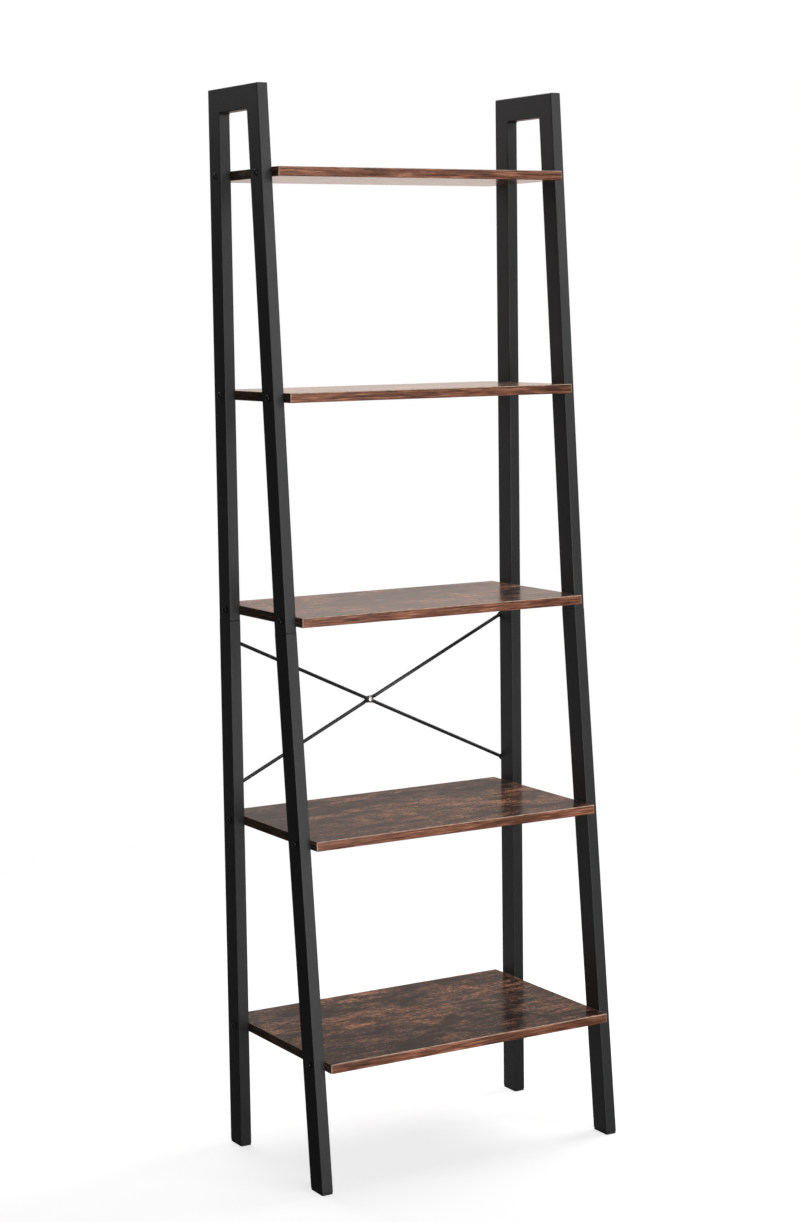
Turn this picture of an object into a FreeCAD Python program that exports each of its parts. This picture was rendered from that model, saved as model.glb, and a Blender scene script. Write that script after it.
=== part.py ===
import FreeCAD, Part
import math
import os

# Five-tier ladder shelf: two welded side frames that stand on plugged-in legs, five boards bolted
# between them, and a crossed pair of brace rods behind the rear legs.
#
# Frame: +X to the right of a person facing the shelf, +Y towards the wall, +Z up. The origin is on
# the floor, midway between the side frames and midway between the front edge of the bottom shelf
# and the rear edges of all the shelves. All lengths are in millimetres.

Vector = FreeCAD.Vector

# Overall size
HEIGHT = 1720.0
FRAME_WIDTH = 560.0
DEPTH = 340.0

# Rectangular steel tube of the side frames
TUBE_X = 19.0
TUBE_Y = 38.0
TUBE_WALL = 1.2
TUBE_RADIUS = 2.5

# Front posts lean back; the legs lean a little more than the welded frames above them
UPPER_SLOPE = 0.0735
LOWER_SLOPE = 0.099
SPLICE_Z = 876.0
SPLICE_GROOVE = 0.6

# Sleeve inside each splice
SLEEVE_GAP = 0.3
SLEEVE_WALL = 1.5
SLEEVE_RISE = 40.0
SLEEVE_DROP = 50.0

# Shelves, numbered from the top
SHELF_COUNT = 5
SHELF_PITCH = 346.0
BOTTOM_SHELF_TOP = 208.0
SHELF_THICKNESS = 15.0
SHELF_OVERHANG = 22.0
BAND = 1.0

# Shelf bolts (M6 button head) and the threaded inserts in the board ends
BOLT_RADIUS = 2.95
BOLT_HOLE_RADIUS = 3.3
BOLT_HEAD_RADIUS = 5.25
BOLT_HEAD_HEIGHT = 2.4
BOLT_REACH = 11.0
INSERT_RADIUS = 5.0
INSERT_BORE_RADIUS = 3.0
INSERT_LENGTH = 13.0

# Foot plugs
FOOT_FLANGE = 3.0
FOOT_BODY = 20.0
FOOT_WALL = 2.5

# Crossed brace rods, flattened at both ends and where they cross
BRACE_LOW_Z = 590.0
BRACE_HIGH_Z = 846.0
ROD_RADIUS = 3.0
FLAT_WIDTH = 11.0
FLAT_THICKNESS = 3.0
FLAT_LENGTH = 20.0
TAB_LENGTH = 9.0
TAPER_LENGTH = 4.0
BRACE_HOLE_RADIUS = 2.7

# Brace hardware (M5)
SCREW_RADIUS = 2.45
SCREW_HEAD_RADIUS = 4.6
SCREW_HEAD_HEIGHT = 2.6
SCREW_REACH = 8.0
RIVET_NUT_RADIUS = 3.5
RIVET_NUT_BORE = 2.5
RIVET_NUT_LENGTH = 9.0
RIVET_FLANGE_RADIUS = 4.6
RIVET_FLANGE = 0.8
NUT_ACROSS_FLATS = 8.0
NUT_HEIGHT = 4.0

# Values that follow from the dimensions above
POST_X = FRAME_WIDTH / 2 - TUBE_X / 2
INNER_X = FRAME_WIDTH / 2 - TUBE_X
SHELF_REAR = DEPTH / 2
REAR_FACE = SHELF_REAR - SHELF_OVERHANG
REAR_POST_Y = REAR_FACE - TUBE_Y / 2
UPPER_LEAN = math.atan(UPPER_SLOPE)
LOWER_LEAN = math.atan(LOWER_SLOPE)
SPLICE_FRONT_Y = -DEPTH / 2 + SHELF_OVERHANG + LOWER_SLOPE * (SPLICE_Z - BOTTOM_SHELF_TOP)
TUBE_RADIUS_INSIDE = TUBE_RADIUS - TUBE_WALL
BRACE_FRONT = REAR_FACE + RIVET_FLANGE
BRACE_REAR = BRACE_FRONT + 2 * FLAT_THICKNESS
BRACE_MID_Z = (BRACE_LOW_Z + BRACE_HIGH_Z) / 2

SIDES = {"left": -1, "right": 1}
AXIS_X = Vector(1, 0, 0)
AXIS_Y = Vector(0, 1, 0)
AXIS_Z = Vector(0, 0, 1)
REACH = 3000.0


def front_face_y(z):
    """Y of the front posts' front face at height z."""
    slope = UPPER_SLOPE if z >= SPLICE_Z else LOWER_SLOPE
    return SPLICE_FRONT_Y + slope * (z - SPLICE_Z)


def front_post_y(z):
    """Y of the front posts' centre line at height z."""
    lean = UPPER_LEAN if z >= SPLICE_Z else LOWER_LEAN
    return front_face_y(z) + TUBE_Y / 2 / math.cos(lean)


def shelf_top(number):
    return BOTTOM_SHELF_TOP + (SHELF_COUNT - number) * SHELF_PITCH


def shelf_front(number):
    return front_face_y(shelf_top(number)) - SHELF_OVERHANG


def bolt_z(number):
    return shelf_top(number) - SHELF_THICKNESS / 2


def rounded_rectangle(size_x, size_y, radius):
    """Face of a rectangle with round corners, centred on the origin in the XY plane."""
    plate = Part.makeBox(size_x, size_y, 1.0, Vector(-size_x / 2, -size_y / 2, 0))
    corners = [edge for edge in plate.Edges if abs(edge.tangentAt(edge.FirstParameter).z) > 0.9]
    plate = plate.makeFillet(radius, corners)
    return min(plate.Faces, key=lambda face: face.CenterOfMass.z)


def leaning_bar(size_x, size_y, radius, foot, lean, length):
    """Solid bar of rounded section whose axis leaves foot and leans towards +Y."""
    bar = rounded_rectangle(size_x, size_y, radius).extrude(Vector(0, 0, length))
    turn = FreeCAD.Rotation(AXIS_X, -math.degrees(lean))
    bar.Placement = FreeCAD.Placement(foot, turn)
    return bar


def cylinder(base, axis, radius, length):
    return Part.makeCylinder(radius, length, base, axis)


def half_space(point, normal):
    """Large block that fills the side of a plane towards which normal points."""
    block = Part.makeBox(2 * REACH, 2 * REACH, REACH, Vector(-REACH, -REACH, 0))
    block.Placement = FreeCAD.Placement(point, FreeCAD.Rotation(AXIS_Z, normal))
    return block


def single_solid(shape):
    solids = shape.removeSplitter().Solids
    assert len(solids) == 1 and solids[0].isValid(), "a piece fell apart"
    return solids[0]


def upright_line(x, which, stage):
    """Point on a post's centre line at the splice, and the post's lean."""
    if which == "rear":
        return Vector(x, REAR_POST_Y, SPLICE_Z), 0.0
    lean = UPPER_LEAN if stage == "upper" else LOWER_LEAN
    return Vector(x, SPLICE_FRONT_Y + TUBE_Y / 2 / math.cos(lean), SPLICE_Z), lean


def splice_plane(x, which):
    """Point and upward normal of the plane in which a leg meets the frame above it."""
    if which == "rear":
        return Vector(x, REAR_FACE, SPLICE_Z), AXIS_Z
    lean = (UPPER_LEAN + LOWER_LEAN) / 2
    return Vector(x, SPLICE_FRONT_Y, SPLICE_Z), Vector(0, math.sin(lean), math.cos(lean))


def post_core(x, which, stage, inset, radius):
    """Endless solid along a post, inset from its outside faces."""
    point, lean = upright_line(x, which, stage)
    along = Vector(0, math.sin(lean), math.cos(lean))
    half = HEIGHT
    foot = point - along * half
    return leaning_bar(TUBE_X - 2 * inset, TUBE_Y - 2 * inset, radius, foot, lean, 2 * half)


def post_tube(x, which, stage):
    outside = post_core(x, which, stage, 0.0, TUBE_RADIUS)
    inside = post_core(x, which, stage, TUBE_WALL, TUBE_RADIUS_INSIDE)
    return outside.cut(inside)


def groove_splice_end(tube, x, which, stage):
    """Turn down the rim of the tube end at the splice, which leaves a fine groove all round."""
    point, normal = splice_plane(x, which)
    away = normal if stage == "upper" else normal * -1
    kept_rim = post_core(x, which, stage, SPLICE_GROOVE, TUBE_RADIUS - SPLICE_GROOVE)
    beyond = half_space(point + away * SPLICE_GROOVE, away)
    return tube.cut(post_core(x, which, stage, -1.0, TUBE_RADIUS).cut(kept_rim).cut(beyond))


def drill_bolt_holes(tube, x, which, numbers):
    """Clearance holes through both side walls at each shelf bolt."""
    for number in numbers:
        z = bolt_z(number)
        y = REAR_POST_Y if which == "rear" else front_post_y(z)
        hole = cylinder(Vector(x - TUBE_X, y, z), AXIS_X, BOLT_HOLE_RADIUS, 2 * TUBE_X)
        tube = tube.cut(hole)
    return tube


def rear_mitre():
    """Point on the rear corner's mitre plane, and its normal towards the top bar."""
    return Vector(0, REAR_FACE, HEIGHT), Vector(0, -1, 1)


def front_mitre():
    """Point on the front corner's mitre plane, and its normal towards the top bar."""
    outer_y = front_face_y(HEIGHT)
    inner_y = front_face_y(HEIGHT - TUBE_Y) + TUBE_Y / math.cos(UPPER_LEAN)
    return Vector(0, outer_y, HEIGHT), Vector(0, TUBE_Y, inner_y - outer_y)


def upper_post(x, which):
    point, normal = splice_plane(x, which)
    tube = post_tube(x, which, "upper").cut(half_space(point, normal * -1))
    corner, towards_bar = rear_mitre() if which == "rear" else front_mitre()
    tube = tube.cut(half_space(corner, towards_bar))
    tube = groove_splice_end(tube, x, which, "upper")
    return single_solid(drill_bolt_holes(tube, x, which, (1, 2, 3)))


def top_bar(x):
    length = 2 * DEPTH
    foot = Vector(x, -DEPTH, HEIGHT - TUBE_Y / 2)
    level = math.pi / 2
    outside = leaning_bar(TUBE_X, TUBE_Y, TUBE_RADIUS, foot, level, length)
    inset = 2 * TUBE_WALL
    inside = leaning_bar(TUBE_X - inset, TUBE_Y - inset, TUBE_RADIUS_INSIDE, foot, level, length)
    bar = outside.cut(inside)
    for corner, towards_bar in (rear_mitre(), front_mitre()):
        bar = bar.cut(half_space(corner, towards_bar * -1))
    return single_solid(bar)


def lower_leg(x, which):
    point, normal = splice_plane(x, which)
    tube = post_tube(x, which, "lower").cut(half_space(point, normal))
    tube = tube.cut(half_space(Vector(0, 0, FOOT_FLANGE), AXIS_Z * -1))
    tube = groove_splice_end(tube, x, which, "lower")
    tube = drill_bolt_holes(tube, x, which, (4, 5))
    if which == "rear":
        tube = drill_rivet_nut_holes(tube, x)
    return single_solid(tube)


def drill_rivet_nut_holes(shape, x):
    """Holes in the rear wall only, for the brace rods' rivet nuts."""
    for z in (BRACE_LOW_Z, BRACE_HIGH_Z):
        start = Vector(x, REAR_FACE - RIVET_NUT_LENGTH, z)
        shape = shape.cut(cylinder(start, AXIS_Y, RIVET_NUT_RADIUS, TUBE_Y))
    return shape


def splice_sleeve(x, which):
    """Inner tube that joins a leg to the frame above; the front ones bend with the post."""
    inset = TUBE_WALL + SLEEVE_GAP
    point, normal = splice_plane(x, which)
    halves = []
    for stage, side, limit in (("upper", 1, SLEEVE_RISE), ("lower", -1, SLEEVE_DROP)):
        shell = post_core(x, which, stage, inset, TUBE_RADIUS_INSIDE)
        core = post_core(x, which, stage, inset + SLEEVE_WALL, TUBE_RADIUS_INSIDE / 2)
        shell = shell.cut(core).cut(half_space(point, normal * -side))
        halves.append(shell.cut(half_space(point + normal * (side * limit), normal * side)))
    sleeve = halves[0].fuse(halves[1])
    sleeve = drill_bolt_holes(sleeve, x, which, (3,))
    if which == "rear":
        sleeve = drill_rivet_nut_holes(sleeve, x)
    return single_solid(sleeve)


def foot_plug(x, which):
    """Plastic plug: a flange that carries the tube end and a hollow body pushed into it."""
    floor = half_space(Vector(0, 0, 0), AXIS_Z * -1)
    flange = post_core(x, which, "lower", 0.0, TUBE_RADIUS).cut(floor)
    flange = flange.cut(half_space(Vector(0, 0, FOOT_FLANGE), AXIS_Z))
    body = post_core(x, which, "lower", TUBE_WALL, TUBE_RADIUS_INSIDE)
    hollow = post_core(x, which, "lower", TUBE_WALL + FOOT_WALL, TUBE_RADIUS_INSIDE / 2)
    body = body.cut(half_space(Vector(0, 0, FOOT_FLANGE), AXIS_Z * -1))
    body = body.cut(half_space(Vector(0, 0, FOOT_FLANGE + FOOT_BODY), AXIS_Z)).cut(hollow)
    return single_solid(flange.fuse(body))


def shelf_bolt_places(number):
    """The four bolts of one shelf: side sign, Y and Z."""
    z = bolt_z(number)
    return [(side, y, z) for side in SIDES.values() for y in (REAR_POST_Y, front_post_y(z))]


def shelf_pieces(number):
    """Board core and its four edge bands, drilled at the ends for the inserts."""
    top = shelf_top(number)
    front = shelf_front(number)
    depth = SHELF_REAR - front
    low = top - SHELF_THICKNESS
    length = 2 * INNER_X

    def block(x, y, size_x, size_y):
        return Part.makeBox(size_x, size_y, SHELF_THICKNESS, Vector(x, y, low))

    board = block(-INNER_X + BAND, front + BAND, length - 2 * BAND, depth - 2 * BAND)
    front_band = block(-INNER_X, front, length, BAND)
    rear_band = block(-INNER_X, SHELF_REAR - BAND, length, BAND)
    end_bands = []
    for x in (-INNER_X, INNER_X - BAND):
        end_bands.append(block(x, front + BAND, BAND, depth - 2 * BAND))
    for side, y, z in shelf_bolt_places(number):
        start = Vector(side * INNER_X, y, z)
        hole = cylinder(start, AXIS_X * -side, INSERT_RADIUS, INSERT_LENGTH)
        board = board.cut(hole)
        end_bands = [band.cut(hole) for band in end_bands]
    name = f"shelf_{number}"
    return {
        f"{name}_board": single_solid(board),
        f"{name}_front_edge_band": front_band,
        f"{name}_rear_edge_band": rear_band,
        f"{name}_end_edge_bands": Part.makeCompound([single_solid(band) for band in end_bands]),
    }


def domed_head(base, axis, radius, height):
    """Low domed screw head that stands on base and rises along axis."""
    rim = Vector(radius, 0, height * 0.3)
    shoulder = Vector(radius * 0.8, 0, height * 0.8)
    crown = Vector(radius * 0.45, 0, height)
    corners = [Vector(0, 0, height), Vector(0, 0, 0), Vector(radius, 0, 0), rim]
    edges = [Part.Arc(rim, shoulder, crown).toShape(), Part.makeLine(crown, corners[0])]
    edges += [Part.makeLine(start, end) for start, end in zip(corners, corners[1:])]
    profile = Part.Face(Part.Wire(Part.__sortEdges__(edges)))
    head = profile.revolve(Vector(0, 0, 0), AXIS_Z, 360)
    head.Placement = FreeCAD.Placement(base, FreeCAD.Rotation(AXIS_Z, axis))
    return head


def button_head(base, axis, radius, height, socket_radius):
    """Domed head with a hexagon socket."""
    socket = hexagon_prism(base + axis * (height * 0.35), axis, socket_radius, height)
    return domed_head(base, axis, radius, height).cut(socket)


def hexagon_prism(base, axis, radius, length):
    points = []
    for step in range(7):
        angle = math.radians(60 * step)
        points.append(Vector(radius * math.cos(angle), radius * math.sin(angle), 0))
    prism = Part.Face(Part.makePolygon(points)).extrude(Vector(0, 0, length))
    prism.Placement = FreeCAD.Placement(base, FreeCAD.Rotation(AXIS_Z, axis))
    return prism


def shelf_bolt(side, y, z):
    outward = AXIS_X * side
    seat = Vector(side * FRAME_WIDTH / 2, y, z)
    shank = cylinder(seat, outward * -1, BOLT_RADIUS, TUBE_X + BOLT_REACH)
    head = button_head(seat, outward, BOLT_HEAD_RADIUS, BOLT_HEAD_HEIGHT, BOLT_RADIUS * 0.75)
    return single_solid(shank.fuse(head))


def shelf_insert(side, y, z):
    start = Vector(side * INNER_X, y, z)
    inward = AXIS_X * -side
    body = cylinder(start, inward, INSERT_RADIUS, INSERT_LENGTH)
    return single_solid(body.cut(cylinder(start, inward, INSERT_BORE_RADIUS, BOLT_REACH + 1)))


def rod_section(position, centre_w, width, thickness):
    """Four-sided closed wire across the rod: round if width equals thickness."""
    if width == thickness:
        return round_section(position, centre_w, width / 2)
    half_v, half_w = width / 2, thickness / 2
    corners = ((1, 1), (-1, 1), (-1, -1), (1, -1), (1, 1))
    points = [Vector(position, centre_w + w * half_w, v * half_v) for v, w in corners]
    return Part.makePolygon(points)


def round_section(position, centre_w, radius):
    """Circle across the rod, split into four arcs that start at the diagonals."""
    centre = Vector(position, centre_w, 0)
    arcs = []
    for quarter in range(4):
        angles = [math.radians(45 + 90 * quarter + turn) for turn in (0, 45, 90)]
        points = [centre + Vector(0, math.sin(a) * radius, math.cos(a) * radius) for a in angles]
        arcs.append(Part.Arc(*points).toShape())
    return Part.Wire(arcs)


def rod_stretch(start, end):
    """Solid between two (position, centre, width, thickness) stations along the rod."""
    return Part.makeLoft([rod_section(*start), rod_section(*end)], True, True)


def brace_rod(rises_to_right, middle_at_rear):
    """Rod with pressed flats, built along X and then tilted about the crossing point."""
    span = math.hypot(2 * POST_X, BRACE_HIGH_Z - BRACE_LOW_Z)
    rod_w = BRACE_FRONT + ROD_RADIUS
    tab_w = BRACE_FRONT + FLAT_THICKNESS / 2
    middle_w = tab_w + (FLAT_THICKNESS if middle_at_rear else 0.0)
    diameter = 2 * ROD_RADIUS
    tab_inner = span / 2 - TAB_LENGTH
    half_flat = FLAT_LENGTH / 2
    stations = [
        (span / 2, tab_w, FLAT_WIDTH, FLAT_THICKNESS),
        (tab_inner, tab_w, FLAT_WIDTH, FLAT_THICKNESS),
        (tab_inner - TAPER_LENGTH, rod_w, diameter, diameter),
        (half_flat + TAPER_LENGTH, rod_w, diameter, diameter),
        (half_flat, middle_w, FLAT_WIDTH, FLAT_THICKNESS),
        (0.0, middle_w, FLAT_WIDTH, FLAT_THICKNESS),
    ]
    stations += [(-position, *rest) for position, *rest in reversed(stations[:-1])]
    rod = rod_stretch(stations[0], stations[1])
    for start, end in zip(stations[1:], stations[2:]):
        rod = rod.fuse(rod_stretch(start, end))
    for end in (-1, 1):
        eye = Vector(end * span / 2, BRACE_FRONT, 0)
        rod = rod.fuse(cylinder(eye, AXIS_Y, FLAT_WIDTH / 2, FLAT_THICKNESS))
    for position in (-span / 2, 0.0, span / 2):
        start = Vector(position, BRACE_FRONT - FLAT_THICKNESS, 0)
        rod = rod.cut(cylinder(start, AXIS_Y, BRACE_HOLE_RADIUS, 4 * FLAT_THICKNESS))
    tilt = math.degrees(math.asin((BRACE_HIGH_Z - BRACE_LOW_Z) / span))
    turn = FreeCAD.Rotation(AXIS_Y, -tilt if rises_to_right else tilt)
    rod = single_solid(rod)
    rod.Placement = FreeCAD.Placement(Vector(0, 0, BRACE_MID_Z), turn)
    return rod


def brace_end_places():
    """Brace screw places on the rear legs: X and Z."""
    return [(side * POST_X, z) for side in SIDES.values() for z in (BRACE_LOW_Z, BRACE_HIGH_Z)]


def brace_screw(x, z):
    seat = Vector(x, BRACE_FRONT + FLAT_THICKNESS, z)
    shank = cylinder(seat, AXIS_Y * -1, SCREW_RADIUS, FLAT_THICKNESS + SCREW_REACH)
    head = button_head(seat, AXIS_Y, SCREW_HEAD_RADIUS, SCREW_HEAD_HEIGHT, SCREW_RADIUS * 0.75)
    return single_solid(shank.fuse(head))


def rivet_nut(x, z):
    flange = cylinder(Vector(x, REAR_FACE, z), AXIS_Y, RIVET_FLANGE_RADIUS, RIVET_FLANGE)
    start = Vector(x, REAR_FACE - RIVET_NUT_LENGTH, z)
    body = cylinder(start, AXIS_Y, RIVET_NUT_RADIUS, RIVET_NUT_LENGTH)
    bore = cylinder(start, AXIS_Y, RIVET_NUT_BORE, RIVET_NUT_LENGTH + RIVET_FLANGE)
    return single_solid(flange.fuse(body).cut(bore))


def crossing_bolt():
    """Pan-headed bolt through the crossing, head towards the front, with a cross recess."""
    seat = Vector(0, BRACE_FRONT, BRACE_MID_Z)
    forward = AXIS_Y * -1
    grip = BRACE_REAR - BRACE_FRONT + NUT_HEIGHT + 1.0
    shank = cylinder(seat, AXIS_Y, SCREW_RADIUS, grip)
    height = SCREW_HEAD_HEIGHT + 0.6
    head = domed_head(seat, forward, SCREW_HEAD_RADIUS, height)
    slot_length, slot_width, slot_depth = 4.8, 1.1, 1.8
    for size_x, size_z in ((slot_length, slot_width), (slot_width, slot_length)):
        corner = seat + Vector(-size_x / 2, -height - 1.0, -size_z / 2)
        head = head.cut(Part.makeBox(size_x, slot_depth + 1.0, size_z, corner))
    return single_solid(shank.fuse(head))


def crossing_nut():
    base = Vector(0, BRACE_REAR, BRACE_MID_Z)
    corner_radius = NUT_ACROSS_FLATS / 2 / math.cos(math.radians(30))
    nut = hexagon_prism(base, AXIS_Y, corner_radius, NUT_HEIGHT)
    return single_solid(nut.cut(cylinder(base, AXIS_Y, RIVET_NUT_BORE, NUT_HEIGHT)))


def side_frame_nodes():
    nodes = {}
    for side, sign in SIDES.items():
        x = sign * POST_X
        nodes[f"{side}_top_bar"] = top_bar(x)
        for which in ("front", "rear"):
            nodes[f"{side}_{which}_upper_post"] = upper_post(x, which)
            nodes[f"{side}_{which}_lower_leg"] = lower_leg(x, which)
            nodes[f"{side}_{which}_splice_sleeve"] = splice_sleeve(x, which)
            nodes[f"{side}_{which}_foot_plug"] = foot_plug(x, which)
    return nodes


def shelf_nodes():
    nodes = {}
    bolts = []
    inserts = []
    for number in range(1, SHELF_COUNT + 1):
        nodes.update(shelf_pieces(number))
        for place in shelf_bolt_places(number):
            bolts.append(shelf_bolt(*place))
            inserts.append(shelf_insert(*place))
    nodes["shelf_bolts"] = Part.makeCompound(bolts)
    nodes["shelf_threaded_inserts"] = Part.makeCompound(inserts)
    return nodes


def brace_nodes():
    places = brace_end_places()
    return {
        "brace_rod_falling_right": brace_rod(rises_to_right=False, middle_at_rear=False),
        "brace_rod_rising_right": brace_rod(rises_to_right=True, middle_at_rear=True),
        "brace_crossing_bolt": crossing_bolt(),
        "brace_crossing_nut": crossing_nut(),
        "brace_end_screws": Part.makeCompound([brace_screw(*place) for place in places]),
        "brace_rivet_nuts": Part.makeCompound([rivet_nut(*place) for place in places]),
    }


def main():
    os.makedirs("parts", exist_ok=True)
    nodes = {**side_frame_nodes(), **shelf_nodes(), **brace_nodes()}
    for name, shape in nodes.items():
        shape.exportStep(f"parts/{name}.step")
    print(len(nodes), "nodes")


main()
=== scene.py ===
import math

import bmesh
import bpy
from mathutils import Matrix, Vector


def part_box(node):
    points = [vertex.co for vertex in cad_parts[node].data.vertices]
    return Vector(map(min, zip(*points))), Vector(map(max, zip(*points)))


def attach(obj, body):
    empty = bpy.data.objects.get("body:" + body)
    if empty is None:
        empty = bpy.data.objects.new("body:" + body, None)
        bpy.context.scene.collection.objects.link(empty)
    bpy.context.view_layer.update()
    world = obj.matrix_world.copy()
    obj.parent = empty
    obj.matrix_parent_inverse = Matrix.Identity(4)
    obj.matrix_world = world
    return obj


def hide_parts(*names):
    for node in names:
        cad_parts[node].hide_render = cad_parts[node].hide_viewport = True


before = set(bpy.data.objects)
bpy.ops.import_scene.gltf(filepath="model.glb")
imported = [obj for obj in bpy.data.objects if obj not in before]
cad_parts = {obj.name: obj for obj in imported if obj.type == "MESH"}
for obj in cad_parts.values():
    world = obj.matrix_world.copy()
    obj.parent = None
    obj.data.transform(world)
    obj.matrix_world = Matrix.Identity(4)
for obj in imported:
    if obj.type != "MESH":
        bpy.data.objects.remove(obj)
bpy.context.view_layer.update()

# Ladder shelf: welded side frames on plugged-in legs, five laminate boards, crossed brace rods.
# Metres, +X to the right of a person facing the shelf, +Y towards the wall, +Z up.
# Shelves are numbered from the top.

BODY = "root"
MM = 0.001
SHELVES = range(1, 6)
SIDES = ("left", "right")

# Places and sizes taken from the frame
bar_low, bar_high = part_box("left_top_bar")
TOP_Z = bar_high.z
REAR_FACE = bar_high.y
FRONT_TOP = bar_low.y
TUBE_DEPTH = bar_high.z - bar_low.z
SPLICE_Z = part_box("left_rear_upper_post")[0].z
SPLICE_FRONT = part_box("left_front_upper_post")[0].y
LEG_FOOT_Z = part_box("left_rear_lower_leg")[0].z
FOOT_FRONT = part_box("left_front_foot_plug")[0].y
UPPER_LEAN = math.atan2(FRONT_TOP - SPLICE_FRONT, TOP_Z - SPLICE_Z)
LOWER_LEAN = math.atan2(SPLICE_FRONT - FOOT_FRONT, SPLICE_Z)

# Edge treatment of the coated steel
ARRIS_RADIUS = 2.2 * MM
END_RADIUS = 0.9 * MM
OUTER_CORNER_RADIUS = 1.6 * MM
WELD_FILLET_RADIUS = 3.5 * MM
PLUG_EDGE_RADIUS = 0.35 * MM

# Smallest angle between two faces whose edge is rounded, and whose edge is kept sharp
BEVEL_ANGLE = math.radians(40)
CREASE_ANGLE = math.radians(38)

# Edge treatment of the boards: a fine seam between board and band, and rounded bands
BOARD_SEAM = 0.12 * MM
BAND_RADIUS = 0.5 * MM
FRONT_ARRIS = 1.0 * MM
FRONT_ARRIS_STEPS = 4

# Brace rods, pressed flat at both ends and where they cross
FLAT_WIDTH = 11 * MM
FLAT_THICKNESS = 3 * MM
FLAT_HALF_LENGTH = 8 * MM
TAB_LENGTH = 7 * MM
TAPER_LENGTH = 5 * MM
EYE_REACH = 7 * MM
TAB_TIP_HALF_WIDTH = 0.9 * MM
ROD_STEP = 1 * MM

# Screws and bolts: head radius and height, shank radius and length, reach and depth of the recess
SHELF_BOLT = (5.25 * MM, 2.4 * MM, 2.95 * MM, 30 * MM, 2.7 * MM, 1.5 * MM)
BRACE_SCREW = (4.6 * MM, 2.6 * MM, 2.45 * MM, 11 * MM, 2.1 * MM, 1.5 * MM)
CROSSING_BOLT = (4.6 * MM, 3.2 * MM, 2.45 * MM, 11 * MM, 2.8 * MM, 1.6 * MM)
SHELF_BOLT_SOCKET = 2.0 * MM
BRACE_SCREW_SOCKET = 1.5 * MM
CROSS_RECESS = (2.5 * MM, 0.55 * MM)
NUT_BORE = 2.5 * MM
NUT_CHAMFER = 0.5 * MM
NUT_FACE_SHARE = 0.93
NUT_CORNER_SHARE = 1.03
ROUND_STEPS = 24


# ---------------------------------------------------------------- mesh helpers

def make_object(name, bm, material, replaced=()):
    """Finished piece from a bmesh: smooth, with its material, riding on the object's one body."""
    mesh = bpy.data.meshes.new(name)
    bmesh.ops.recalc_face_normals(bm, faces=bm.faces)
    bm.to_mesh(mesh)
    bm.free()
    for polygon in mesh.polygons:
        polygon.use_smooth = True
    piece = bpy.data.objects.new(name, mesh)
    bpy.context.scene.collection.objects.link(piece)
    mesh.materials.append(material)
    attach(piece, BODY)
    if replaced:
        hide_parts(*replaced)
    return piece


def add_bevel(piece, width, segments, by_weight=False):
    """Round the edges: all that are sharp, or each by its own weight."""
    bevel = piece.modifiers.new("rounded_edges", "BEVEL")
    bevel.width = width
    bevel.segments = segments
    bevel.limit_method = "WEIGHT" if by_weight else "ANGLE"
    bevel.angle_limit = BEVEL_ANGLE
    bevel.harden_normals = True
    bevel.miter_outer = "MITER_ARC"
    return bevel


def smooth_outline(corners, steps=6):
    """Closed outline in (y, z) from (y, z, radius) corners; each radius becomes an arc."""
    outline = []
    count = len(corners)
    for index, (y, z, radius) in enumerate(corners):
        here = Vector((y, z))
        if radius == 0:
            outline.append(here)
            continue
        before = (Vector(corners[index - 1][:2]) - here).normalized()
        after = (Vector(corners[(index + 1) % count][:2]) - here).normalized()
        half_angle = before.angle(after) / 2
        centre = here + (before + after).normalized() * (radius / math.sin(half_angle))
        start = here + before * (radius / math.tan(half_angle)) - centre
        end = here + after * (radius / math.tan(half_angle)) - centre
        turn = start.angle_signed(end)
        for step in range(steps + 1):
            spoke = Matrix.Rotation(-turn * step / steps, 2) @ start
            outline.append(centre + spoke)
    return outline


def tube_piece(name, x_low, x_high, corners, material, replaced):
    """Coated tube work seen from its side: an outline in YZ given the tube's width along X.
    Corners with no radius are cut tube ends, whose rims are only just broken."""
    outline = smooth_outline(corners)
    cut_points = {tuple(Vector(corner[:2])) for corner in corners if corner[2] == 0}
    end_weight = END_RADIUS / ARRIS_RADIUS
    bm = bmesh.new()
    weight = bm.edges.layers.float.new("bevel_weight_edge")
    rows = [[bm.verts.new((x, y, z)) for y, z in outline] for x in (x_low, x_high)]
    bm.faces.new(rows[0])
    bm.faces.new(rows[1])
    for index in range(len(outline)):
        after = (index + 1) % len(outline)
        is_end = tuple(outline[index]) in cut_points and tuple(outline[after]) in cut_points
        bm.faces.new((rows[0][index], rows[0][after], rows[1][after], rows[1][index]))
        for row in rows:
            edge = bm.edges.get((row[index], row[after]))
            edge[weight] = end_weight if is_end else 1.0
        if tuple(outline[index]) in cut_points:
            bm.edges.get((rows[0][index], rows[1][index]))[weight] = end_weight
    piece = make_object(name, bm, material, replaced)
    add_bevel(piece, ARRIS_RADIUS, 5, by_weight=True)


def slab_piece(name, low, high, material, slot, radius, segments, replaced, trim=None):
    """Flat board or strip between two corners, with its edges rounded, in the trim's material
    if there is one."""
    bm = bmesh.new()
    bmesh.ops.create_cube(bm, size=1.0)
    size = high - low
    middle = (low + high) / 2
    for vert in bm.verts:
        vert.co = middle + Vector(a * b for a, b in zip(vert.co, size))
    piece = make_object(name, bm, material, replaced)
    bevel = add_bevel(piece, radius, segments)
    if trim:
        piece.data.materials.append(trim)
        bevel.material = 1


def ring(bm, points):
    """New vertices at the points."""
    return [bm.verts.new(point) for point in points]


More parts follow.
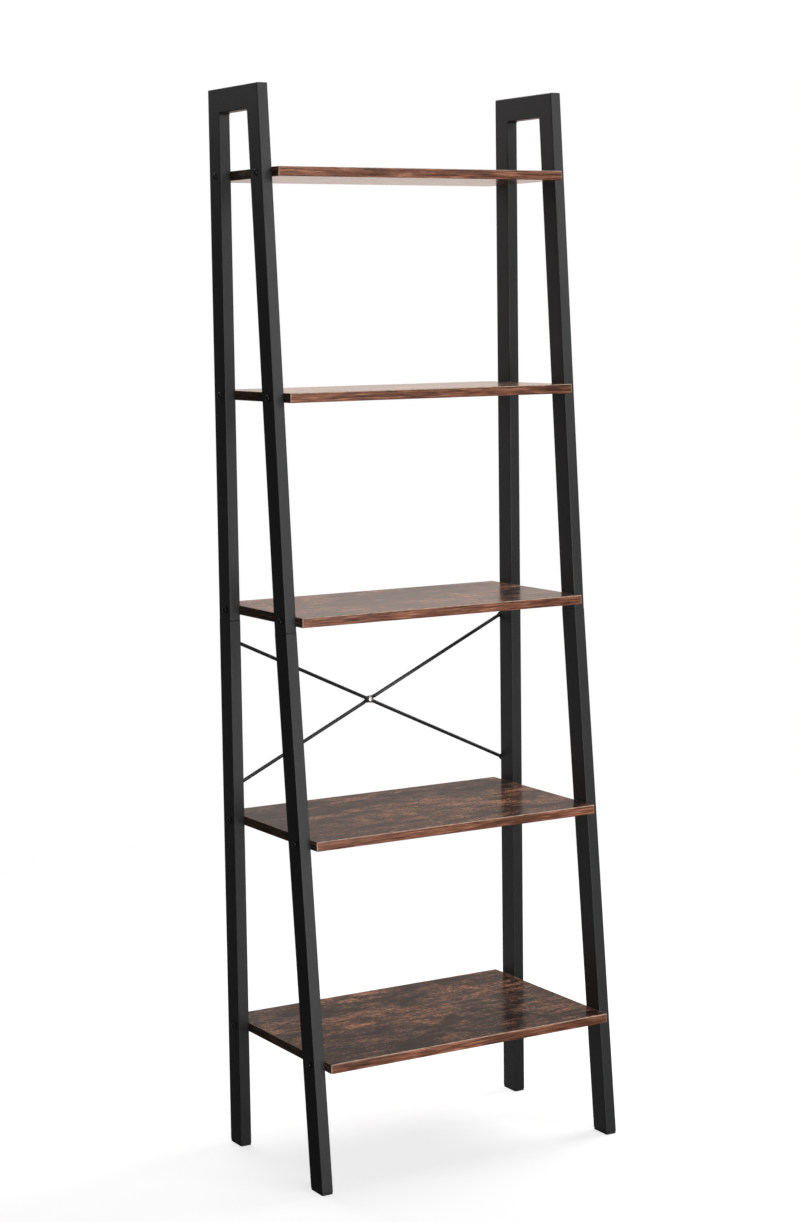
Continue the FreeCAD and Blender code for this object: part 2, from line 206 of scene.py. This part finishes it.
def loft(bm, rows):
    """Skin through rows of points, closed at both ends."""
    rings = [ring(bm, row) for row in rows]
    count = len(rings[0])
    for first, second in zip(rings, rings[1:]):
        for index in range(count):
            after = (index + 1) % count
            bm.faces.new((first[index], first[after], second[after], second[index]))
    bm.faces.new(rings[0])
    bm.faces.new(rings[-1])


def turned(bm, seat, axis, stations, angles):
    """Body around an axis through seat: (height, outline) stations, where an outline is a radius
    or a function that gives the radius at an angle."""
    across = Vector((0, 0, 1))
    third = axis.cross(across)
    rows = []
    for height, outline in stations:
        row = []
        for angle in angles:
            radius = outline(angle) if callable(outline) else outline
            spoke = across * math.cos(angle) + third * math.sin(angle)
            row.append(seat + axis * height + spoke * radius)
        rows.append(row)
    loft(bm, rows)


def hexagon(apothem, limit=math.inf):
    """Radius of a hexagon at an angle, with its corners cut back to a limit."""
    def outline(angle):
        sixth = math.pi / 3
        return min(apothem / math.cos((angle + sixth / 2) % sixth - sixth / 2), limit)
    return outline


def cross_shape(arm, half_width):
    """Radius of a plus sign at an angle."""
    def outline(angle):
        turn = abs((angle + math.pi / 4) % (math.pi / 2) - math.pi / 4)
        return min(arm / math.cos(turn), half_width / max(math.sin(turn), 1e-6))
    return outline


def cross_angles(arm, half_width):
    """Angles that meet every corner of the plus sign."""
    tip = math.atan2(half_width, arm)
    inner = math.pi / 4
    steps = (-tip, 0, tip, (tip + inner) / 2, inner, math.pi / 2 - (tip + inner) / 2)
    return [quarter * math.pi / 2 + step for quarter in range(4) for step in steps]


def crease(piece):
    """Keep edges sharp where faces meet at more than a gentle angle."""
    piece.data.set_sharp_from_angle(angle=CREASE_ANGLE)


def even_angles(count):
    """Angles evenly round a full turn."""
    return [2 * math.pi * index / count for index in range(count)]


def domed_screw(bm, seat, axis, sizes, recess, angles):
    """Screw with a domed head, its drive recess sunk into the crown."""
    head_radius, head_height, shank_radius, shank_length, recess_reach, depth = sizes
    rim_inset, rim_rise = 0.97, 0.08
    stations = [(-shank_length, shank_radius), (0, shank_radius), (0, head_radius * rim_inset),
                (head_height * rim_rise, head_radius)]
    crown = math.acos(recess_reach / head_radius)
    fullness = 0.6
    dome_steps = 7
    for step in range(1, dome_steps + 1):
        sweep = crown * step / dome_steps
        height = head_height * (math.sin(sweep) / math.sin(crown)) ** fullness
        stations.append((height, head_radius * math.cos(sweep)))
    rim = stations[-1][0]
    stations += [(rim, recess), (rim - depth, recess)]
    turned(bm, seat, axis, stations, angles)


# ---------------------------------------------------------------- material helpers

class Nodes:
    """Short-hand for building one material's node tree."""

    def __init__(self, name):
        self.material = bpy.data.materials.new(name)
        self.material.use_nodes = True
        self.tree = self.material.node_tree
        self.shader = self.tree.nodes["Principled BSDF"]
        self.place = self.tree.nodes.new("ShaderNodeTexCoord").outputs["Object"]

    def add(self, kind, **inputs):
        """New node; each input is a number, a colour or another node's output."""
        node = self.tree.nodes.new(kind)
        for key, value in inputs.items():
            self.connect(value, node.inputs[key.replace("_", " ")])
        return node

    def connect(self, value, socket):
        if isinstance(value, bpy.types.NodeSocket):
            self.tree.links.new(value, socket)
        else:
            socket.default_value = value

    def noise(self, stretch, detail=4.0, roughness=0.55, distortion=0.0, offset=(0, 0, 0)):
        """Noise whose features are 1/stretch metres long along each axis."""
        mapping = self.add("ShaderNodeMapping", Vector=self.place, Scale=stretch, Location=offset)
        node = self.add("ShaderNodeTexNoise", Vector=mapping.outputs[0], Scale=1.0, Detail=detail,
                        Roughness=roughness, Distortion=distortion)
        return node.outputs["Fac"]

    def ramp(self, value, stops):
        """Colour ramp through (position, colour) stops."""
        node = self.add("ShaderNodeValToRGB", Fac=value)
        elements = node.color_ramp.elements
        while len(elements) < len(stops):
            elements.new(0.5)
        for element, (position, colour) in zip(elements, stops):
            element.position = position
            element.color = (*colour, 1.0)
        return node.outputs["Color"]

    def spread(self, value, low, high, to_low, to_high):
        """Map low..high evenly to to_low..to_high."""
        node = self.add("ShaderNodeMapRange", Value=value)
        for key, number in zip(("From Min", "From Max", "To Min", "To Max"),
                               (low, high, to_low, to_high)):
            node.inputs[key].default_value = number
        return node.outputs["Result"]

    def mix(self, share, first, second, blend="MIX"):
        node = self.tree.nodes.new("ShaderNodeMix")
        node.data_type = "RGBA"
        node.blend_type = blend
        self.connect(share, node.inputs["Factor"])
        self.connect(first, node.inputs["A"])
        self.connect(second, node.inputs["B"])
        return node.outputs["Result"]

    def bump(self, height, strength, distance, normal=None):
        node = self.add("ShaderNodeBump", Height=height, Strength=strength, Distance=distance)
        if normal is not None:
            self.connect(normal, node.inputs["Normal"])
        return node.outputs["Normal"]

    def finish(self, **inputs):
        """Connect the shader and return the material."""
        for key, value in inputs.items():
            self.connect(value, self.shader.inputs[key.replace("_", " ")])
        return self.material


def grey(value):
    return (value, value, value)


def warm(value):
    """Faintly reddish light of the given brightness."""
    return (1.05 * value, 0.90 * value, 0.82 * value)


# ---------------------------------------------------------------- materials

def powder_coat(name, rough_low, rough_high, relief_strength):
    """Satin black powder coat: slight tone drift along the tube and a fine orange-peel texture."""
    nodes = Nodes(name)
    drift = nodes.noise((9, 9, 5), detail=3)
    speckle = nodes.noise((700, 700, 500), detail=3)
    peel = nodes.noise((420, 420, 300), detail=4, roughness=0.65)
    tone = nodes.ramp(drift, [(0.3, (0.0085, 0.0088, 0.0093)), (0.7, (0.0145, 0.0149, 0.0155))])
    colour = nodes.mix(nodes.spread(speckle, 0.40, 0.66, 0.0, 0.6), tone, (0.024, 0.0245, 0.025, 1))
    shine = nodes.spread(peel, 0.3, 0.7, rough_low, rough_high)
    relief = nodes.bump(peel, relief_strength, 0.00025)
    return nodes.finish(Base_Color=colour, Roughness=shine, Normal=relief)


def rustic_laminate(name, offset):
    """Printed rustic-brown board: charred blotches on brown wood whose grain runs along X."""
    nodes = Nodes(name)
    tone = nodes.noise((4.5, 8, 8), 3, 0.5, 0.2, offset)
    grain = nodes.noise((20, 62, 60), 11, 0.76, 0.2, offset)
    blotches = nodes.noise((12, 19, 15), 9, 0.70, 0.35, offset)
    flecks = nodes.noise((150, 210, 200), 4, 0.75, 0.0, offset)
    fibres = nodes.noise((70, 900, 400), 3, 0.6, 0.0, offset)
    wood = nodes.ramp(grain, [(0.40, (0.0190, 0.0150, 0.0140)), (0.45, (0.0600, 0.0360, 0.0285)),
                              (0.50, (0.1200, 0.0650, 0.0450)), (0.55, (0.1850, 0.0980, 0.0650)),
                              (0.62, (0.2900, 0.1600, 0.1050))])
    warmth = nodes.ramp(tone, [(0.40, (0.78, 0.82, 0.87)), (0.49, (1.05, 1.02, 1.02)),
                               (0.60, (1.90, 1.60, 1.38))])
    colour = nodes.mix(1.0, wood, warmth, "MULTIPLY")
    char = nodes.ramp(blotches, [(0.49, grey(1.0)), (0.56, (0.50, 0.52, 0.55)),
                                 (0.65, (0.20, 0.22, 0.24))])
    colour = nodes.mix(1.0, colour, char, "MULTIPLY")
    speckle = nodes.ramp(flecks, [(0.40, grey(0.35)), (0.50, grey(1.0)), (0.60, (1.8, 1.7, 1.65))])
    colour = nodes.mix(0.9, colour, speckle, "MULTIPLY")
    lines = nodes.ramp(fibres, [(0.36, grey(0.55)), (0.52, grey(1.0)), (0.68, grey(1.45))])
    colour = nodes.mix(0.8, colour, lines, "MULTIPLY")
    shine = nodes.spread(grain, 0.3, 0.7, 0.16, 0.25)
    relief = nodes.bump(fibres, 0.10, 0.00012)
    relief = nodes.bump(flecks, 0.08, 0.00020, relief)
    return nodes.finish(Base_Color=colour, Roughness=shine, Normal=relief)


def edge_band(name, stretch_line, stretch_tone, painted_shade_tint):
    """Printed edge strip, redder and lighter than the board faces, with fine lengthwise grain; the
    tint multiplies its colour, and where it darkens the strip that is painted shade.
    """
    nodes = Nodes(name)
    lines = nodes.noise(stretch_line, 6, 0.68, 0.15)
    tone = nodes.noise(stretch_tone, 3, 0.5)
    wood = nodes.ramp(lines, [(0.36, (0.050, 0.0190, 0.0110)), (0.46, (0.145, 0.0540, 0.0300)),
                              (0.55, (0.250, 0.0980, 0.0550)), (0.66, (0.480, 0.2200, 0.1350))])
    drift = nodes.ramp(tone, [(0.35, [0.72 * part for part in painted_shade_tint]),
                              (0.65, [1.22 * part for part in painted_shade_tint])])
    colour = nodes.mix(1.0, wood, drift, "MULTIPLY")
    shine = nodes.spread(lines, 0.3, 0.75, 0.38, 0.50)
    relief = nodes.bump(lines, 0.12, 0.0002)
    return nodes.finish(Base_Color=colour, Roughness=shine, Normal=relief,
                        Specular_IOR_Level=0.22)


def arris_trim_and_highlight():
    """Arris of an edge strip, paler: partly its core, bared by trimming, and partly a painted
    highlight.
    """
    nodes = Nodes("pale_arris_trim_and_painted_highlight")
    nicks = nodes.noise((90, 90, 300), 4, 0.6)
    colour = nodes.ramp(nicks, [(0.35, (0.36, 0.21, 0.14)), (0.58, (0.62, 0.43, 0.32))])
    shine = nodes.spread(nicks, 0.3, 0.7, 0.35, 0.5)
    return nodes.finish(Base_Color=colour, Roughness=shine, Normal=nodes.bump(nicks, 0.1, 0.0001))


def moulded_plastic():
    """Black plastic with the fine grain of its mould."""
    nodes = Nodes("black_plastic")
    grainy = nodes.noise((700, 700, 700), 3)
    colour = nodes.ramp(grainy, [(0.3, grey(0.010)), (0.7, grey(0.018))])
    shine = nodes.spread(grainy, 0.3, 0.7, 0.50, 0.62)
    return nodes.finish(Base_Color=colour, Roughness=shine, Normal=nodes.bump(grainy, 0.2, 0.0002))


def plated_metal(name, dark, light, rough_low, rough_high):
    """Plated steel with faint tool marks and uneven brightness."""
    nodes = Nodes(name)
    marks = nodes.noise((350, 350, 1800), 3)
    colour = nodes.ramp(marks, [(0.3, dark), (0.7, light)])
    shine = nodes.spread(marks, 0.3, 0.7, rough_low, rough_high)
    relief = nodes.bump(marks, 0.08, 0.0001)
    return nodes.finish(Base_Color=colour, Roughness=shine, Normal=relief, Metallic=1.0)


def black_zinc():
    """Blackened screw, slightly uneven in sheen."""
    nodes = Nodes("black_zinc_screw")
    marks = nodes.noise((600, 600, 600), 3)
    colour = nodes.ramp(marks, [(0.3, grey(0.010)), (0.7, grey(0.022))])
    shine = nodes.spread(marks, 0.3, 0.7, 0.30, 0.42)
    return nodes.finish(Base_Color=colour, Roughness=shine, Normal=nodes.bump(marks, 0.1, 0.0001))


POWDER = powder_coat("black_powder_coat", 0.38, 0.52, 0.40)
ROD_PAINT = powder_coat("black_powder_coat_thin", 0.13, 0.20, 0.04)
FRONT_BAND = edge_band("brown_edge_band_lengthwise", (20, 420, 420), (6, 20, 20), grey(1.0))
# The end strips are the front strips' print tinted darker and less red: painted shade.
END_BAND_PAINTED_SHADE = edge_band("brown_edge_band_crosswise_painted_shade", (420, 20, 420), (20, 6, 20), (0.62, 0.92, 1.00))
# Pale arris colour: partly the bared core of the strip, partly a painted highlight.
TRIM_AND_HIGHLIGHT = arris_trim_and_highlight()
PLASTIC = moulded_plastic()
ZINC = plated_metal("zinc_plated_steel", (0.50, 0.51, 0.52), (0.66, 0.67, 0.68), 0.25, 0.38)
NICKEL = plated_metal("bright_nickel_screw", (0.80, 0.80, 0.78), (0.92, 0.92, 0.90), 0.30, 0.40)
BLACK_ZINC = black_zinc()


# ---------------------------------------------------------------- side frames

def leaning_depth(lean):
    """Depth of the tube along Y where it leans."""
    return TUBE_DEPTH / math.cos(lean)


def splice_rear_point():
    """Rear end of the slanted cut where the front leg meets the frame above it."""
    mean = (UPPER_LEAN + LOWER_LEAN) / 2
    length = TUBE_DEPTH / math.cos((LOWER_LEAN - UPPER_LEAN) / 2)
    return SPLICE_FRONT + length * math.cos(mean), SPLICE_Z - length * math.sin(mean)


def upper_frame(side):
    """Rear post, top bar and front post, welded into one piece and coated together."""
    low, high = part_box(f"{side}_top_bar")
    inner_top = TOP_Z - TUBE_DEPTH
    inner_front = FRONT_TOP - TUBE_DEPTH * math.tan(UPPER_LEAN) + leaning_depth(UPPER_LEAN)
    corners = [
        (REAR_FACE, SPLICE_Z, 0),
        (REAR_FACE, TOP_Z, OUTER_CORNER_RADIUS),
        (FRONT_TOP, TOP_Z, OUTER_CORNER_RADIUS),
        (SPLICE_FRONT, SPLICE_Z, 0),
        (*splice_rear_point(), 0),
        (inner_front, inner_top, WELD_FILLET_RADIUS),
        (REAR_FACE - TUBE_DEPTH, inner_top, WELD_FILLET_RADIUS),
        (REAR_FACE - TUBE_DEPTH, SPLICE_Z, 0),
    ]
    parts = [f"{side}_{part}" for part in ("top_bar", "front_upper_post", "rear_upper_post")]
    tube_piece(f"{side}_upper_frame", low.x, high.x, corners, POWDER, parts)


def rear_leg(side):
    """Upright tube from the splice down to the foot plug."""
    node = f"{side}_rear_lower_leg"
    low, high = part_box(node)
    front = REAR_FACE - TUBE_DEPTH
    corners = [(REAR_FACE, LEG_FOOT_Z, 0), (REAR_FACE, SPLICE_Z, 0),
               (front, SPLICE_Z, 0), (front, LEG_FOOT_Z, 0)]
    tube_piece(f"{side}_rear_leg", low.x, high.x, corners, POWDER, [node])


def front_leg(side):
    """Leaning tube from the splice down to the foot plug."""
    node = f"{side}_front_lower_leg"
    low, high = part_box(node)
    foot_front = FOOT_FRONT + LEG_FOOT_Z * math.tan(LOWER_LEAN)
    corners = [(foot_front + leaning_depth(LOWER_LEAN), LEG_FOOT_Z, 0), (*splice_rear_point(), 0),
               (SPLICE_FRONT, SPLICE_Z, 0), (foot_front, LEG_FOOT_Z, 0)]
    tube_piece(f"{side}_front_leg", low.x, high.x, corners, POWDER, [node])


def dress(node, material, edge_radius=0.0):
    """Give a carried-over CAD node its material and, if asked, softly broken edges."""
    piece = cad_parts[node]
    piece.data.materials.clear()
    piece.data.materials.append(material)
    for polygon in piece.data.polygons:
        polygon.material_index = 0
    if edge_radius:
        add_bevel(piece, edge_radius, 2)


def build_side_frames():
    for side in SIDES:
        upper_frame(side)
        rear_leg(side)
        front_leg(side)
        for which in ("front", "rear"):
            dress(f"{side}_{which}_foot_plug", PLASTIC, PLUG_EDGE_RADIUS)
            dress(f"{side}_{which}_splice_sleeve", ZINC)


# ---------------------------------------------------------------- shelves

def shelf_offset(number):
    """Shift of the print from board to board, so that no two show the same pattern."""
    return (number * 3.7 + 41.9, number * 1.9 + 14.2, number * 0.8)


def front_band(name, low, high, replaced):
    """Front edge strip whose outer corners are trimmed round, which bares its paler core; the pale
    colour, in part a painted highlight, goes only on the arrises that face up or sideways.
    """
    quarter = [math.pi / 2 * step / FRONT_ARRIS_STEPS for step in range(FRONT_ARRIS_STEPS + 1)]
    blunt = 0.02 * MM
    ends = [(FRONT_ARRIS * (1 - math.cos(sweep)), max(FRONT_ARRIS * math.sin(sweep), blunt))
            for sweep in quarter]
    stations = [(low.x + along, radius) for along, radius in ends]
    stations += [(high.x - along, radius) for along, radius in reversed(ends)]
    rows = []
    for x, radius in stations:
        upper = [(x, high.y - radius * math.sin(sweep), high.z - radius * (1 - math.cos(sweep)))
                 for sweep in quarter]
        lower = [(x, y, low.z + high.z - z) for x, y, z in reversed(upper)]
        rows.append(upper + lower)
    bm = bmesh.new()
    loft(bm, rows)
    bmesh.ops.recalc_face_normals(bm, faces=bm.faces)
    bm.normal_update()
    # Arrises that face up or sideways take the pale colour, in part a painted highlight; the one
    # turned under keeps the band's colour.
    flat_to_front, turned_under = 0.995, -0.1
    for face in bm.faces:
        is_highlight_arris = abs(face.normal.y) < flat_to_front and face.normal.z > turned_under
        face.material_index = 1 if is_highlight_arris else 0
    piece = make_object(name, bm, FRONT_BAND, replaced)
    piece.data.materials.append(TRIM_AND_HIGHLIGHT)
    crease(piece)


def build_shelf(number):
    """Board with a strip on each of its four edges."""
    name = f"shelf_{number}"
    laminate = rustic_laminate(f"rustic_brown_laminate_{number}", shelf_offset(number))
    board = f"{name}_board"
    slab_piece(f"{name}_laminated_board", *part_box(board), laminate, "rustic_brown_board",
               BOARD_SEAM, 1, [board])
    node = f"{name}_front_edge_band"
    front_band(f"{name}_front_band", *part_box(node), [node])
    node = f"{name}_rear_edge_band"
    slab_piece(f"{name}_rear_band", *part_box(node), FRONT_BAND, "brown_edge_band",
               BAND_RADIUS, 3, [node])
    ends_node = f"{name}_end_edge_bands"
    low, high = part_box(ends_node)
    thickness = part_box(board)[0].x - low.x
    left_high = Vector((low.x + thickness, high.y, high.z))
    right_low = Vector((high.x - thickness, low.y, low.z))
    # Both end strips use the end-strip material, whose darker, less red colour is painted shade.
    for side, corners in zip(SIDES, ((low, left_high), (right_low, high))):
        slab_piece(f"{name}_{side}_end_band", *corners, END_BAND_PAINTED_SHADE, "brown_edge_band",
                   BAND_RADIUS, 2, [ends_node], trim=TRIM_AND_HIGHLIGHT)


# ---------------------------------------------------------------- brace and fasteners

def front_post_y(z):
    """Y of the front posts' centre line at height z."""
    if z >= SPLICE_Z:
        face = FRONT_TOP - (TOP_Z - z) * math.tan(UPPER_LEAN)
        return face + leaning_depth(UPPER_LEAN) / 2
    face = SPLICE_FRONT - (SPLICE_Z - z) * math.tan(LOWER_LEAN)
    return face + leaning_depth(LOWER_LEAN) / 2


def rod_flatness(distance, half_span):
    """How far the rod is pressed flat at a distance from its middle: 0 is round, 1 is flat."""
    from_middle = (distance - FLAT_HALF_LENGTH) / TAPER_LENGTH
    from_tab = (half_span - TAB_LENGTH - distance) / TAPER_LENGTH
    roundness = min(max(min(from_middle, from_tab), 0.0), 1.0)
    return 1 - roundness * roundness * (3 - 2 * roundness)


def rod_row(distance, half_span, rod_radius, middle_at_rear):
    """Cross-section of a brace rod, in (along, depth, across), at a distance from its middle."""
    flat = rod_flatness(abs(distance), half_span)
    is_middle = abs(distance) < half_span / 2
    swell = max(1 - (distance / EYE_REACH) ** 2, 0.0) if is_middle else flat
    half_width = rod_radius + (FLAT_WIDTH / 2 - rod_radius) * swell
    half_depth = rod_radius + (FLAT_THICKNESS / 2 - rod_radius) * flat
    squareness = 1 - 0.5 * flat
    overrun = abs(distance) - half_span
    if overrun > 0:
        half_width = math.sqrt(max(half_width ** 2 - overrun ** 2, TAB_TIP_HALF_WIDTH ** 2))
    side = 1 if is_middle and middle_at_rear else -1
    depth = side * (rod_radius - FLAT_THICKNESS / 2) * flat
    row = []
    for angle in even_angles(ROUND_STEPS):
        c, s = math.cos(angle), math.sin(angle)
        across = math.copysign(abs(c) ** squareness, c) * half_width
        deep = math.copysign(abs(s) ** squareness, s) * half_depth
        row.append((distance, depth + deep, across))
    return row


def brace_rod(node, rises_to_right, middle_at_rear):
    """Round rod between two rear posts, pressed flat at its ends and where it meets the other."""
    low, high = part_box(node)
    rod_radius = (high.y - low.y) / 2
    half_width = high.x - FLAT_WIDTH / 2
    half_height = (high.z - low.z) / 2 - FLAT_WIDTH / 2
    half_span = math.hypot(half_width, half_height)
    pressed = int((FLAT_HALF_LENGTH + TAPER_LENGTH) / ROD_STEP) + 1
    tab = int((TAB_LENGTH + TAPER_LENGTH + FLAT_WIDTH / 2) / ROD_STEP) + 1
    half = [step * ROD_STEP for step in range(pressed)]
    half += [half_span + FLAT_WIDTH / 2 - (tab - step) * ROD_STEP for step in range(tab + 1)]
    distances = [-distance for distance in reversed(half[1:])] + half
    tilt = math.atan2(half_height, half_width) * (-1 if rises_to_right else 1)
    place = Matrix.Translation((low + high) / 2) @ Matrix.Rotation(tilt, 4, "Y")
    bm = bmesh.new()
    rows = [rod_row(distance, half_span, rod_radius, middle_at_rear) for distance in distances]
    loft(bm, [[place @ Vector(point) for point in row] for row in rows])
    crease(make_object(f"{node}_pressed", bm, ROD_PAINT, [node]))


def crossing_bolt(seat):
    """Bright cross-recessed bolt through the crossing, its head to the front."""
    bm = bmesh.new()
    domed_screw(bm, seat, Vector((0, -1, 0)), CROSSING_BOLT, cross_shape(*CROSS_RECESS),
                cross_angles(*CROSS_RECESS))
    crease(make_object("brace_crossing_bolt_head", bm, NICKEL,
                       ["brace_crossing_bolt"]))


def crossing_nut(x, z):
    """Hexagon nut behind the crossing, chamfered on both faces and round its bore."""
    low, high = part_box("brace_crossing_nut")
    apothem = min(high.x - low.x, high.z - low.z) / 2
    height = high.y - low.y
    flats = hexagon(apothem)
    eased = hexagon(apothem, apothem * NUT_CORNER_SHARE)
    face = apothem * NUT_FACE_SHARE
    shoulder = NUT_CHAMFER * 1.4
    bm = bmesh.new()
    stations = [(NUT_CHAMFER, NUT_BORE), (0, NUT_BORE + NUT_CHAMFER), (0, face),
                (NUT_CHAMFER, eased), (shoulder, flats), (height - shoulder, flats),
                (height - NUT_CHAMFER, eased), (height, face), (height, NUT_BORE + NUT_CHAMFER),
                (height - NUT_CHAMFER, NUT_BORE)]
    turned(bm, Vector((x, low.y, z)), Vector((0, 1, 0)), stations, even_angles(ROUND_STEPS))
    crease(make_object("brace_crossing_hex_nut", bm, ZINC,
                       ["brace_crossing_nut"]))


def build_brace():
    brace_rod("brace_rod_falling_right", False, False)
    brace_rod("brace_rod_rising_right", True, True)
    low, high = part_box("brace_rod_rising_right")
    crossing = (low + high) / 2
    crossing_bolt(Vector((crossing.x, low.y, crossing.z)))
    crossing_nut(crossing.x, crossing.z)

    bm = bmesh.new()
    seat_y = low.y + FLAT_THICKNESS
    for x in (low.x + FLAT_WIDTH / 2, high.x - FLAT_WIDTH / 2):
        for z in (low.z + FLAT_WIDTH / 2, high.z - FLAT_WIDTH / 2):
            domed_screw(bm, Vector((x, seat_y, z)), Vector((0, 1, 0)), BRACE_SCREW,
                        hexagon(BRACE_SCREW_SOCKET), even_angles(ROUND_STEPS))
    crease(make_object("brace_end_button_screws", bm, BLACK_ZINC,
                       ["brace_end_screws"]))
    dress("brace_rivet_nuts", ZINC)


def build_shelf_bolts():
    """Socket bolts through the posts from outside, one at each corner of every board."""
    bm = bmesh.new()
    rear_y = REAR_FACE - TUBE_DEPTH / 2
    outer_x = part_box("right_top_bar")[1].x
    for number in SHELVES:
        low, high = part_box(f"shelf_{number}_board")
        z = (low.z + high.z) / 2
        for sign in (-1, 1):
            for y in (front_post_y(z), rear_y):
                domed_screw(bm, Vector((sign * outer_x, y, z)), Vector((sign, 0, 0)), SHELF_BOLT,
                            hexagon(SHELF_BOLT_SOCKET), even_angles(ROUND_STEPS))
    crease(make_object("shelf_button_bolts", bm, BLACK_ZINC,
                       ["shelf_bolts"]))
    dress("shelf_threaded_inserts", ZINC)


# ---------------------------------------------------------------- studio

def build_floor():
    """Plain pale disc, softly lit from within, that fades out before its rim."""
    radius = 2.6
    fade_start, fade_end = 0.45 * radius, 0.95 * radius
    bm = bmesh.new()
    bmesh.ops.create_circle(bm, cap_ends=True, segments=96, radius=radius)
    mesh = bpy.data.meshes.new("floor")
    bm.to_mesh(mesh)
    bm.free()
    floor = bpy.data.objects.new("floor", mesh)
    floor.visible_diffuse = False
    floor.visible_glossy = False
    bpy.context.scene.collection.objects.link(floor)
    nodes = Nodes("pale_floor")
    distance = nodes.add("ShaderNodeVectorMath", Vector=nodes.place)
    distance.operation = "LENGTH"
    cover = nodes.spread(distance.outputs["Value"], fade_start, fade_end, 1.0, 0.0)
    mottle = nodes.noise((3, 3, 3), 3)
    tone = nodes.ramp(mottle, [(0.3, grey(0.50)), (0.7, grey(0.53))])
    material = nodes.finish(Base_Color=tone, Roughness=0.8, Alpha=cover,
                            Emission_Color=(1, 1, 1, 1), Emission_Strength=0.70,
                            Specular_IOR_Level=0.1)
    mesh.materials.append(material)


def area_light(name, place, target, size, power):
    """White rectangular light at a place, turned to a target; its size in metres, power in watts."""
    data = bpy.data.lights.new(name, "AREA")
    data.shape = "RECTANGLE"
    data.size, data.size_y = size
    data.energy = power
    light = bpy.data.objects.new(name, data)
    light.location = place
    light.rotation_euler = (Vector(target) - Vector(place)).to_track_quat("-Z", "Y").to_euler()
    light.visible_camera = False
    bpy.context.scene.collection.objects.link(light)


def build_backdrop():
    """Glowing paper behind the object, for its reflections only: dim on the left, and on the
    right brighter and brighter upwards."""
    low, high = Vector((-0.52, 1.0, -0.8)), Vector((1.9, 1.0, 2.2))
    bm = bmesh.new()
    corners = [(low.x, low.y, low.z), (high.x, low.y, low.z), (high.x, low.y, high.z),
               (low.x, low.y, high.z)]
    bm.faces.new(ring(bm, corners))
    mesh = bpy.data.meshes.new("backdrop")
    bm.to_mesh(mesh)
    bm.free()
    backdrop = bpy.data.objects.new("backdrop", mesh)
    backdrop.visible_camera = False
    backdrop.visible_shadow = False
    bpy.context.scene.collection.objects.link(backdrop)
    nodes = Nodes("backdrop_paper")
    axes = nodes.add("ShaderNodeSeparateXYZ", Vector=nodes.place).outputs
    rightward = nodes.spread(axes["X"], -0.2, 0.3, 0.0, 1.0)
    upward = nodes.spread(axes["Z"], 0.0, 2.0, 0.0, 1.0)
    right_glow = nodes.ramp(upward, [(0.15, warm(0.22)), (0.36, warm(0.23)), (0.50, warm(0.36)),
                                     (0.62, warm(0.80)), (0.76, warm(0.94))])
    left_glow = nodes.ramp(upward, [(0.45, grey(0.36)), (0.65, grey(0.20))])
    glow = nodes.mix(rightward, left_glow, right_glow)
    material = nodes.finish(Base_Color=(0, 0, 0, 1), Specular_IOR_Level=0.0,
                            Emission_Color=glow, Emission_Strength=1.15)
    mesh.materials.append(material)


def build_lights():
    """Soft light from the front, from the upper right and from behind."""
    aim = (0, 0, 0.85)
    area_light("front_left_softbox", (-1.3, -3.6, 0.8), aim, (1.4, 1.4), 47)
    area_light("front_softbox", (0.3, -3.8, 0.8), aim, (1.6, 1.4), 23)
    area_light("front_high_softbox", (0.4, -3.7, 2.5), aim, (1.6, 1.2), 20)
    area_light("front_right_high_softbox", (2.0, -3.3, 2.6), aim, (1.4, 1.4), 28)
    area_light("front_right_low_softbox", (2.7, -3.4, 0.3), (0, 0, 0.4), (1.0, 0.8), 4)
    area_light("front_floor_strip", (0.0, -2.6, 0.15), (0, 0, 0.5), (2.0, 0.5), 16)
    area_light("back_left_softbox", (-1.2, 1.0, 2.06), (-0.28, 0.07, 1.6), (1.2, 0.68), 1.7)
    area_light("back_high_softbox", (0.0, 1.6, 2.9), (0, 0, 0.5), (1.4, 1.2), 30)
    area_light("right_high_softbox", (2.2, 0.2, 2.5), (0, 0, 0.6), (1.4, 1.4), 45)


def build_world():
    """White to the eye; to the object, an almost dark room."""
    world = bpy.data.worlds.new("studio")
    bpy.context.scene.world = world
    world.use_nodes = True
    tree = world.node_tree
    tree.nodes.clear()
    new = tree.nodes.new
    room = new("ShaderNodeBackground")
    room.inputs["Color"].default_value = (*grey(0.012), 1)
    seen = new("ShaderNodeBackground")
    seen.inputs["Color"].default_value = (*grey(1), 1)
    choose = new("ShaderNodeMixShader")
    tree.links.new(new("ShaderNodeLightPath").outputs["Is Camera Ray"], choose.inputs["Fac"])
    tree.links.new(room.outputs[0], choose.inputs[1])
    tree.links.new(seen.outputs[0], choose.inputs[2])
    tree.links.new(choose.outputs[0], new("ShaderNodeOutputWorld").inputs["Surface"])


def build_camera():
    """View from the front left, from a little above the second shelf."""
    place = (-2.0997, -3.5196, 1.3813)
    heading, dip, roll = math.radians(30.49), math.radians(6.93), math.radians(-0.775)
    data = bpy.data.cameras.new("camera")
    data.sensor_fit = "VERTICAL"
    data.sensor_height = 36.0
    data.lens = 74.6
    camera = bpy.data.objects.new("camera", data)
    turn = Matrix.Rotation(-heading, 4, "Z") @ Matrix.Rotation(math.pi / 2 - dip, 4, "X")
    camera.matrix_world = Matrix.Translation(place) @ turn @ Matrix.Rotation(roll, 4, "Z")
    bpy.context.scene.collection.objects.link(camera)
    bpy.context.scene.camera = camera


bpy.context.scene.view_settings.view_transform = "Standard"
build_camera()
build_side_frames()
for shelf_number in SHELVES:
    build_shelf(shelf_number)
build_brace()
build_shelf_bolts()
build_floor()
build_backdrop()
build_lights()
build_world()
